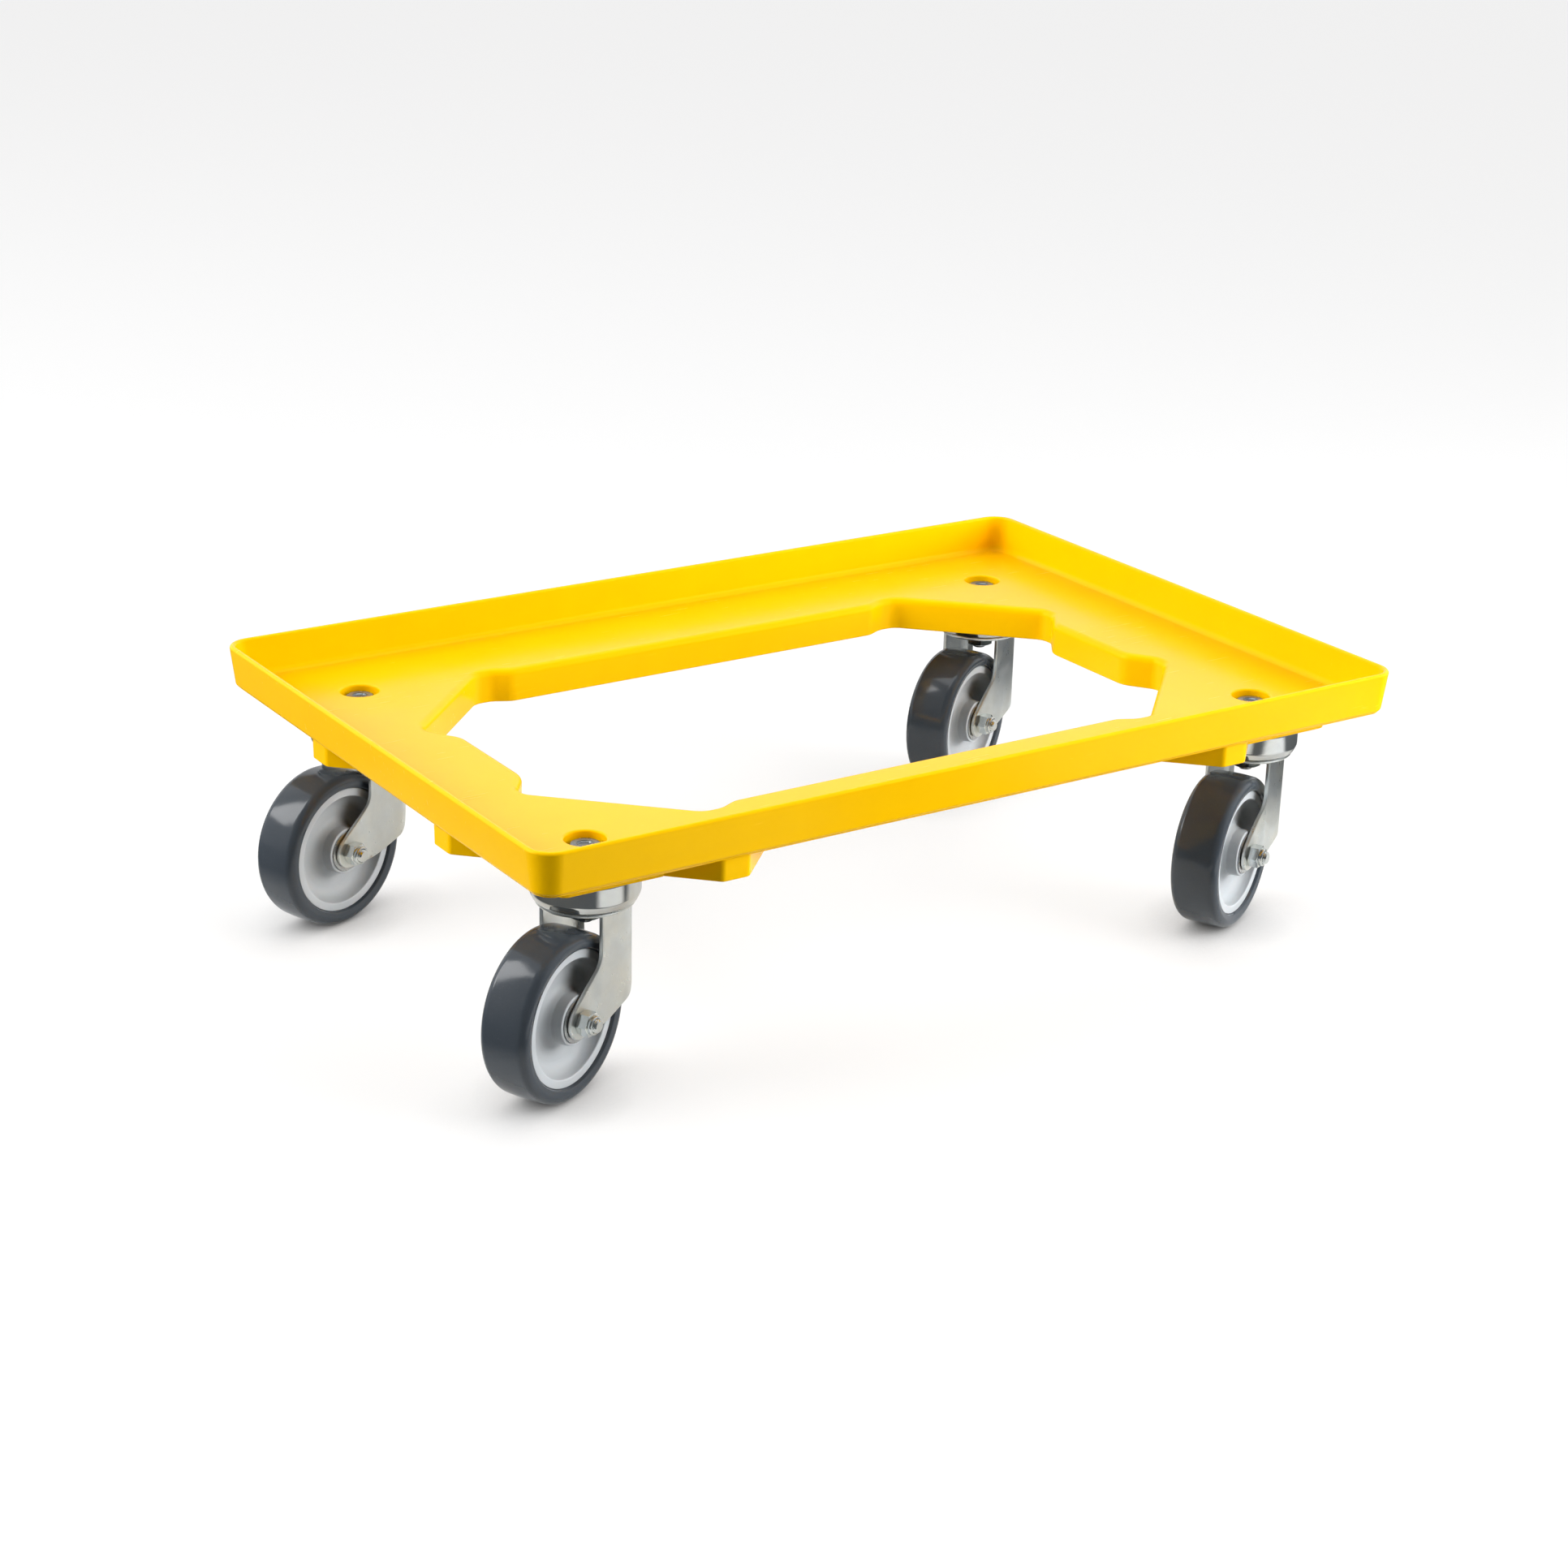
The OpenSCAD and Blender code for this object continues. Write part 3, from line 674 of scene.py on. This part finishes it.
def leg_shape(shape, side):
    """One leg: a pressed sheet with rounded edges, bored for the axle."""
    outline = rounded(LEG_CORNERS, 9)
    dense = []
    for here, there in zip(outline, outline[1:] + outline[:1]):
        pieces = max(1, round((Vector(there) - Vector(here)).length / 3.0))
        for k in range(pieces):
            part = k / pieces
            dense.append((here[0] + (there[0] - here[0]) * part, here[1] + (there[1] - here[1]) * part))
    sides = normals(dense)
    bore = arc((TRAIL, WHEEL_RADIUS), 4.25, 0, 350, 35)
    profile = [
        (-0.75, 0.0), (-0.35, 0.10), (-0.08, 0.38), (0.0, 0.8),
        (0.0, SHEET - 0.5), (-0.12, SHEET - 0.15), (-0.45, SHEET),
    ]
    rings = []
    for inset, depth in profile:
        rings.append(shape.ring([leg_point(x, z, depth, side) for x, z in moved(dense, sides, inset)]))
    holes = [shape.ring([leg_point(x, z, depth, side) for x, z in bore]) for depth in (0.0, SHEET)]
    shape.loft(rings)
    shape.loft(holes)
    inner = moved(dense, sides, -1.6)
    grid = []
    for i in range(45):
        for k in range(36):
            spot = (-22 + 1.5 * i, 38 + 2.0 * k)
            clear = (Vector(spot) - Vector((TRAIL, WHEEL_RADIUS))).length > 5.4
            if clear and is_inside(spot, inner):
                grid.append(spot)
    front = moved(dense, sides, profile[0][0])
    back = moved(dense, sides, profile[-1][0])
    flat = {}
    for loop, side_view in ((rings[0], front), (rings[-1], back), (holes[0], bore), (holes[1], bore)):
        flat.update({tuple(shape.points[i]): p for i, p in zip(loop, side_view)})
    for loop, hole, depth in ((rings[0], holes[0], 0.0), (rings[-1], holes[1], SHEET)):
        shape.fill(loop, [hole], grid, plan=lambda p: flat[tuple(p)],
                   lift=lambda p, depth=depth: leg_point(p[0], p[1], depth, side))


def fork_shape():
    """The fork: a crown with its dome for the bearing, and two legs."""
    shape = Shape()
    shape.lathe(rounded([
        (17.5, 108.2, 0.8), (28.5, 108.2, 1.2), (28.5, 110.9, 1.0), (20.3, 110.9, 1.6), (20.0, 119.9, 2.4),
        (8.1, 119.9, 0.3), (8.1, 117.4, 0.3), (17.5, 117.4, 1.6),
    ], 5), 144)
    for side in (-1, 1):
        leg_shape(shape, side)
    return shape


def axle_bolt_shape():
    """The axle, in the axle's frame: its head at -Z and its threaded end at +Z."""
    shape = Shape()
    hexagon(shape, M8_ACROSS_FLATS, -25.5, -20.2, 3.9, True)
    shape.lathe([(0, -25.2), (3.9, -25.2), (3.9, -21), (3.95, -19), (3.95, 17), (3.9, 19), (0, 19)], 48)
    thread(shape, 4, 1.25, 18.5, 31.8)
    return shape


def axle_nut_shape():
    """The self-locking nut: a hexagon and the collar that holds its nylon ring."""
    shape = Shape()
    hexagon(shape, M8_ACROSS_FLATS, 20.2, 27.3, 4.1, True)
    collar = [(4.1, 25.5, 0), (5.75, 25.5, 0), (5.75, 29.7, 1.1), (4.6, 29.7, 0.4), (4.1, 29.0, 0)]
    shape.lathe(rounded(collar, 5), 72)
    return shape


def core_shape():
    """The wheel core: an outer ring, a dished web and the hub."""
    half = rounded([
        (40.35, 0, 0), (40.35, 13.5, 0.5), (35.2, 13.5, 0.9), (33.2, 5.6, 9.5), (24, 4.4, 30),
        (17.4, 5.2, 6), (15.3, 9.5, 2.5), (14.9, 16.4, 0.8), (9.9, 16.4, 0.5), (9.9, 0, 0),
    ], 8, closed=False)
    shape = Shape()
    shape.lathe(half + [(r, -z) for r, z in reversed(half[1:-1])], 144)
    return shape


def tyre_shape():
    """The tyre: a lip against the core, a round shoulder and a slightly crowned tread."""
    lip = rounded([(40.4, 0, 0), (40.4, 13.4, 0.3), (41.2, 15.2, 1.0), (44.1, 15.97, 0)], 4, closed=False)
    shoulder = list(reversed(arc((44.1, 10.5), 5.47, 0, 90, 9)))
    half = lip[:-1] + shoulder + [(49.85, 6.0), (49.95, 2.0)]
    shape = Shape()
    shape.lathe(half + [(r, -z) for r, z in reversed(half[1:])], 160)
    return shape


def hub_washers_shape():
    """The two thrust washers between the hub and the fork's legs."""
    shape = Shape()
    for middle in (-17.05, 17.05):
        low, high = middle - 0.25, middle + 0.25
        shape.lathe(rounded([(6.3, low, 0), (13.0, low, 0.15), (13.0, high, 0.15), (6.3, high, 0)], 3), 72)
    return shape


def castor_frame(corner):
    """A castor's own frame at rest: its swivel axis, turned so that the wheel trails along +X."""
    joints = {j["name"]: j for j in frame["joints"]}
    swivel = Vector(joints[corner + "_swivel_turn"]["pos_m"])
    wheel = Vector(joints[corner + "_wheel_spin"]["pos_m"])
    trail = wheel - swivel
    return Matrix.Translation((swivel.x, swivel.y, 0)) @ Matrix.Rotation(math.atan2(trail.y, trail.x), 4, "Z")


def build_object():
    """Draws every piece, once for the deck and once for each castor, and ties it to its body."""
    place(deck_piece(), "deck", "deck_yellow", ["deck_frame"])
    place(mounting_bolts(), "deck", "zinc", ["mounting_bolts"])
    place(mounting_washers(), "deck", "zinc", ["mounting_washers"])
    place(mounting_nuts(), "deck", "zinc", ["mounting_nuts"])

    on_axle = Matrix.Translation((TRAIL * MM, 0, WHEEL_RADIUS * MM)) @ Matrix.Rotation(-math.pi / 2, 4, "X")
    upright = Matrix.Identity(4)
    kinds = [
        ("swivel_cup", cup_shape, CUP_ZINC, "zinc", "deck", upright),
        ("kingpin", kingpin_shape, STEEL, "steel", "deck", upright),
        ("retainer_ring", retainer_shape, STEEL, "steel", "deck", upright),
        ("fork", fork_shape, FORK_ZINC, "zinc", "swivel", upright),
        ("axle_bolt", axle_bolt_shape, BOLT_ZINC, "zinc", "swivel", on_axle),
        ("axle_nut", axle_nut_shape, BOLT_ZINC, "zinc", "swivel", on_axle),
        ("wheel_core", core_shape, CORE, "wheel_core", "wheel", on_axle),
        ("tyre", tyre_shape, TYRE, "tyre", "wheel", on_axle),
        ("hub_washers", hub_washers_shape, STEEL, "steel", "wheel", on_axle),
    ]
    for kind, build, material, slot, body, local in kinds:
        drawn = build()
        for corner in CORNERS:
            made = drawn.piece(corner + "_" + kind + "_look", material, 30)
            made.data.transform(castor_frame(corner) @ local)
            place(made, body if body == "deck" else corner + "_" + body, slot, [corner + "_" + kind])

    kept = {
        "bearing_balls": BALL_STEEL, "axle_sleeve": STEEL,
        "roller_cage": NYLON, "wheel_rollers": BALL_STEEL,
    }
    for corner in CORNERS:
        for kind, material in kept.items():
            for material_slot in frame["nodes"][corner + "_" + kind].material_slots:
                material_slot.material = material


build_object()


# ------------------------------------------------------------------ stage

def add_floor(name, height, paint, glow):
    """A round table top in two paints: one under and in front of the object, and another further out. On the
    bounce floor they are painted light and shade: a bright pool where light falls through and past the deck,
    and dark further out.
    """
    m = Nodes(name)
    near, far = paint
    axes = m.add("ShaderNodeSeparateXYZ")
    m.link(m.place, axes.inputs[0])
    # How far a point lies outside the box under the object, then outside two round patches before it: inside
    # them lies the painted pool of light.
    beside = m.math("SUBTRACT", m.math("ABSOLUTE", m.math("SUBTRACT", axes.outputs["X"], 0.03), 0), 0.36)
    before = m.math("SUBTRACT", m.math("ABSOLUTE", axes.outputs["Y"], 0), 0.23)
    away = m.span(m.math("MAXIMUM", beside, before), 0.02, 0.09)
    for middle, radius in (((-0.11, -0.46, 0), 0.13), ((0.36, -0.42, 0), 0.14)):
        distance = m.add("ShaderNodeVectorMath", operation="DISTANCE")
        m.link(m.place, distance.inputs[0])
        distance.inputs[1].default_value = middle
        away = m.math("MINIMUM", away, m.span(distance.outputs["Value"], radius, radius + 0.06))
    cloud = m.math("MULTIPLY", m.noise(3, 2), 0.1)
    m.to("Base Color", m.mix(m.math("ADD", away, cloud), near, far))
    m.set(Roughness=0.9, Specular_IOR_Level=0.1, Emission_Strength=glow)
    if glow:
        # Painted contact shadow: the floor's glow fades to black close under and beside the object.
        painted_shadow_factor = m.math("POWER", m.shade(0.05, 0.0, 1.25), 1.4)
        m.to("Emission Color", m.mix(painted_shadow_factor, (0.0, 0.0, 0.0), (1.0, 0.995, 0.99)))
    mesh = bpy.data.meshes.new(name)
    work = bmesh.new()
    bmesh.ops.create_circle(work, cap_ends=True, segments=96, radius=14)
    bmesh.ops.translate(work, verts=work.verts, vec=(0, 0, height))
    work.to_mesh(mesh)
    work.free()
    mesh.materials.append(m.material)
    floor = bpy.data.objects.new(name, mesh)
    bpy.context.scene.collection.objects.link(floor)
    return floor


def add_floors():
    """The floor that the camera sees, and just below it the one that lights and mirrors in the object."""
    # The seen floor glows evenly, apart from painted contact shadows near the object.
    seen = add_floor("floor", 0.0, ((0.24, 0.239, 0.238), (0.24, 0.24, 0.24)), 0.71)
    seen.visible_glossy = seen.visible_diffuse = seen.visible_shadow = False
    # Painted light and shade: bright under and just before the object, dark further out, mirrored in the
    # metals and bounced onto the object.
    bounce = add_floor("floor_bounce", -0.0004, ((0.62, 0.63, 0.63), (0.07, 0.075, 0.08)), 0.0)
    bounce.visible_camera = False


def add_backdrop():
    """A plain white dome that only the camera sees, so that the room behind the object stays pale."""
    material = bpy.data.materials.new("backdrop")
    material.use_nodes = True
    tree = material.node_tree
    tree.nodes.remove(tree.nodes["Principled BSDF"])
    glow = tree.nodes.new("ShaderNodeEmission")
    tree.links.new(glow.outputs["Emission"], tree.nodes["Material Output"].inputs["Surface"])
    mesh = bpy.data.meshes.new("backdrop")
    work = bmesh.new()
    bmesh.ops.create_uvsphere(work, u_segments=64, v_segments=32, radius=13.9)
    below = [vertex for vertex in work.verts if vertex.co.z < -0.01]
    bmesh.ops.delete(work, geom=below, context="VERTS")
    work.to_mesh(mesh)
    work.free()
    mesh.materials.append(material)
    dome = bpy.data.objects.new("backdrop", mesh)
    bpy.context.scene.collection.objects.link(dome)
    dome.visible_glossy = dome.visible_diffuse = dome.visible_transmission = dome.visible_shadow = False


def at_angle(azimuth, elevation, distance):
    """A point that far from the object, by its direction from +X towards +Y and its height in degrees."""
    a, e = math.radians(azimuth), math.radians(elevation)
    reach = distance * math.cos(e)
    return (reach * math.cos(a), reach * math.sin(a), distance * math.sin(e))


def area_light(name, place_at, size, radiance, mirrors=True, lights=True):
    """A soft box aimed at the object. It may only mirror in the object, or only light it."""
    light = bpy.data.lights.new(name, "AREA")
    light.shape = "RECTANGLE"
    light.size, light.size_y = size
    light.energy = radiance * math.pi * size[0] * size[1]
    made = bpy.data.objects.new(name, light)
    bpy.context.scene.collection.objects.link(made)
    direction = Vector((0, 0, 0.1)) - Vector(place_at)
    made.matrix_world = Matrix.Translation(place_at) @ direction.to_track_quat("-Z", "Y").to_matrix().to_4x4()
    made.visible_glossy = mirrors
    made.visible_diffuse = lights
    return made


def add_world():
    """A pale room, dimmer on the side of the camera."""
    world = bpy.data.worlds.new("studio")
    bpy.context.scene.world = world
    world.use_nodes = True
    tree = world.node_tree
    back = tree.nodes["Background"]
    place_node = tree.nodes.new("ShaderNodeTexCoord")
    dot = tree.nodes.new("ShaderNodeVectorMath")
    dot.operation = "DOT_PRODUCT"
    dot.inputs[1].default_value = (0.552, 0.834, 0.0)
    tree.links.new(place_node.outputs["Generated"], dot.inputs[0])
    ramp = tree.nodes.new("ShaderNodeMapRange")
    for key, number in (("From Min", -0.6), ("From Max", 0.5), ("To Min", 0.12), ("To Max", 1.0)):
        ramp.inputs[key].default_value = number
    tree.links.new(dot.outputs["Value"], ramp.inputs["Value"])
    tree.links.new(ramp.outputs["Result"], back.inputs["Strength"])
    back.inputs["Color"].default_value = (0.97, 0.98, 1.0, 1)


def add_camera():
    """The camera at the angle and distance at which the object is shown."""
    yaw, pitch, roll = math.radians(33.514), math.radians(20.826), math.radians(1.272)
    ahead = Vector((math.sin(yaw) * math.cos(pitch), math.cos(yaw) * math.cos(pitch), -math.sin(pitch)))
    level = Vector((math.cos(yaw), -math.sin(yaw), 0))
    above = level.cross(ahead)
    right = level * math.cos(roll) + above * math.sin(roll)
    up = above * math.cos(roll) - level * math.sin(roll)
    data = bpy.data.cameras.new("camera")
    data.sensor_width = 36
    data.lens = 68.43
    camera = bpy.data.objects.new("camera", data)
    bpy.context.scene.collection.objects.link(camera)
    turn = Matrix((right, up, -ahead)).transposed().to_4x4()
    camera.matrix_world = Matrix.Translation((-1.0052, -1.4919, 0.7670)) @ turn
    bpy.context.scene.camera = camera


add_floors()
add_backdrop()
add_world()
add_camera()
area_light("left_window", at_angle(147, 41.5, 3.5), (1.1, 1.94), 5.0, lights=False)
area_light("left_fill", at_angle(162, 30, 3.0), (2.0, 2.0), 8.7, mirrors=False)
area_light("front_fill", (1.15, -1.25, 0.8), (1.2, 1.2), 8.8, mirrors=False)
area_light("right_fill", (1.3, -0.55, 0.3), (0.9, 0.5), 6.0, mirrors=False)
area_light("top_box", (0.1, 0.3, 2.2), (1.8, 1.5), 1.3, lights=False)
bpy.context.scene.view_settings.view_transform = "Standard"
